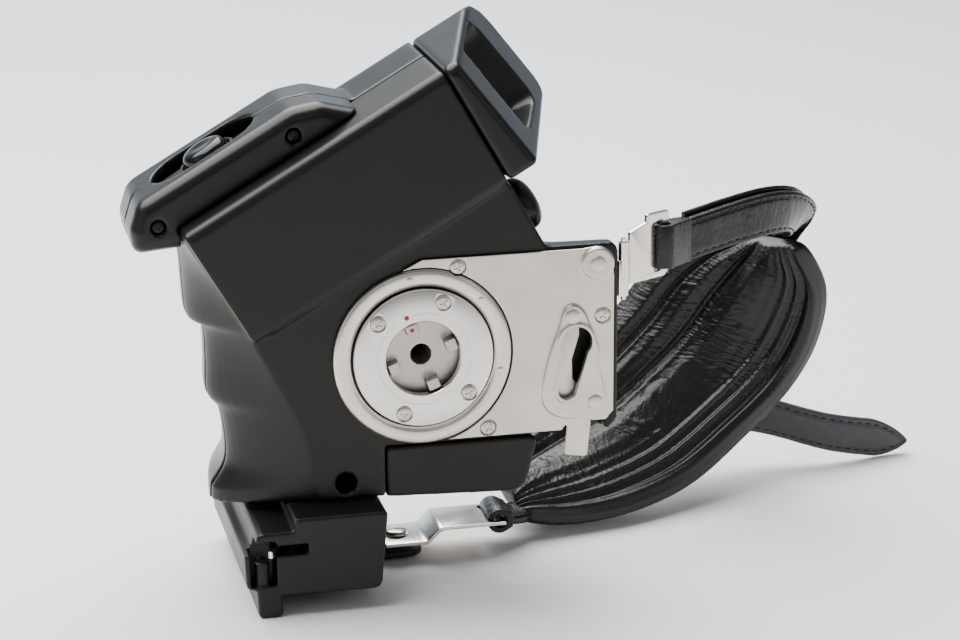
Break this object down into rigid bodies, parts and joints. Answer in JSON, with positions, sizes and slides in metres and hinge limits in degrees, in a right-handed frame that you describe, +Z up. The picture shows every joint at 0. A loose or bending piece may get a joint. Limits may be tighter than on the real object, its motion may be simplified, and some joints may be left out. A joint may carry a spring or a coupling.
{
  "type": "motor winder grip",
  "caption": "Angled black camera motor winder grip: metal camera plate with drive coupling, tilted battery tube, control pod, foot and padded leather hand strap.",
  "frame": {"origin": "middle of the bounding box's foot print, on the table", "axes": "+X right along the camera plate towards the hand strap, +Y away from the camera side, +Z up from the foot"},
  "size_m": [0.2194, 0.0815, 0.138],
  "materials": {
    "black_plastic": "satin black moulded casing",
    "dark_plastic": "dull black moulding",
    "plate_metal": "warm satin plated sheet",
    "bright_metal": "bright plated",
    "steel": "plain steel",
    "brass": "cut brass",
    "leather": "black grained leather",
    "board_green": "circuit board",
    "cell_wrap": "wrapped steel cell"
  },
  "bodies": {
    "winder_body": {"bay_contacts": "brass", "bottom_bracket": "bright_metal", "bracket_screw": "bright_metal", "bracket_washer": "bright_metal", "button_spring": "steel", "camera_plate": "plate_metal", "circuit_board": "board_green", "control_panel": "dark_plastic", "coupling_flange": "bright_metal", "coupling_ring": "plate_metal", "finger_spring": "steel", "flange_screw_1": "bright_metal", "flange_screw_2": "bright_metal", "flange_screw_3": "bright_metal", "flange_screw_4": "bright_metal", "foot_cap": "black_plastic", "foot_housing": "black_plastic", "gear_bracket": "steel", "hand_strap": "leather", "inner_shell": "black_plastic", "lever_rivet": "plate_metal", "lock_spring": "steel", "lower_cover": "black_plastic", "motor_can": "steel", "outer_shell": "black_plastic", "plate_screw_1": "bright_metal", "plate_screw_2": "bright_metal", "plate_screw_3": "bright_metal", "pod_cover": "black_plastic", "pod_screw_1": "steel", "pod_screw_2": "steel", "rear_dome": "dark_plastic", "release_switch": "dark_plastic", "solenoid": "steel", "strap_loop": "bright_metal", "strap_lower_eye": "leather", "strap_lug": "plate_metal", "strap_pad": "leather", "strap_tail": "leather", "strap_top_eye": "leather"},
    "drive_spindle": {"drive_claw": "bright_metal", "output_gear": "brass"},
    "middle_wheel": {"second_gear": "brass"},
    "motor_wheel": {"first_gear": "brass"},
    "motor_shaft": {"motor_pinion": "brass"},
    "release_button": {"release_button": "black_plastic"},
    "mode_collar": {"mode_collar": "dark_plastic"},
    "lock_lever": {"lock_lever": "plate_metal"},
    "release_finger": {"release_finger": "bright_metal"},
    "solenoid_plunger": {"solenoid_plunger": "steel"},
    "battery_magazine": {"magazine_cap": "black_plastic", "magazine_tray": "dark_plastic", "latch_spring": "steel", "battery_cell_1": "cell_wrap", "battery_cell_2": "cell_wrap", "battery_cell_3": "cell_wrap", "battery_cell_4": "cell_wrap", "battery_cell_5": "cell_wrap", "battery_cell_6": "cell_wrap"},
    "cap_latch": {"cap_latch": "dark_plastic"}
  },
  "joints": [
    {"name": "coupling_spin", "type": "hinge", "parent": "winder_body", "child": "drive_spindle", "pos_m": [-0.0416, -0.0308, 0.0604], "axis": [0, 1, 0], "continuous": true},
    {"name": "middle_wheel_spin", "type": "hinge", "parent": "winder_body", "child": "middle_wheel", "pos_m": [-0.0578, -0.0308, 0.0604], "axis": [0, 1, 0], "continuous": true},
    {"name": "motor_wheel_spin", "type": "hinge", "parent": "winder_body", "child": "motor_wheel", "pos_m": [-0.07133, -0.0308, 0.05548], "axis": [0, 1, 0], "continuous": true},
    {"name": "motor_shaft_spin", "type": "hinge", "parent": "winder_body", "child": "motor_shaft", "pos_m": [-0.07133, -0.0308, 0.04108], "axis": [0, 1, 0], "continuous": true},
    {"name": "button_press", "type": "slide", "parent": "winder_body", "child": "release_button", "axis": [0.5, 0, -0.866], "range_m": [0, 0.001], "stiffness_N_per_m": 400, "springref_m": -0.001, "deforming": ["button_spring"]},
    {"name": "collar_turn", "type": "hinge", "parent": "winder_body", "child": "mode_collar", "pos_m": [-0.08919, -0.0118, 0.10789], "axis": [-0.5, 0, 0.866], "range_deg": [-15, 15]},
    {"name": "lock_lever_swing", "type": "hinge", "parent": "winder_body", "child": "lock_lever", "pos_m": [-0.0046, -0.0288, 0.068], "axis": [0, 1, 0], "range_deg": [0, 8], "stiffness_Nm_per_rad": 0.05, "springref_deg": -11.46, "deforming": ["lock_spring"]},
    {"name": "release_finger_swing", "type": "hinge", "parent": "winder_body", "child": "release_finger", "pos_m": [-0.0746, -0.0308, 0.017], "axis": [0, 0, 1], "range_deg": [0, 30], "stiffness_Nm_per_rad": 0.01, "springref_deg": -11.46},
    {"name": "plunger_push", "type": "slide", "parent": "winder_body", "child": "solenoid_plunger", "axis": [0, 1, 0], "range_m": [0, 0.0026]},
    {"name": "magazine_slide", "type": "slide", "parent": "winder_body", "child": "battery_magazine", "axis": [0.866, 0, 0.5], "range_m": [0, 0.075]},
    {"name": "cap_latch_slide", "type": "slide", "parent": "battery_magazine", "child": "cap_latch", "axis": [-0.5, 0, 0.866], "range_m": [0, 0.003], "stiffness_N_per_m": 200, "springref_m": -0.002, "deforming": ["latch_spring"]}
  ],
  "couplings": [
    {"joint": "middle_wheel_spin", "follows": "coupling_spin", "ratio": -2},
    {"joint": "motor_wheel_spin", "follows": "coupling_spin", "ratio": 6},
    {"joint": "motor_shaft_spin", "follows": "coupling_spin", "ratio": -18},
    {"joint": "plunger_push", "follows": "release_finger_swing", "m_per_rad": 0.0046}
  ]
}
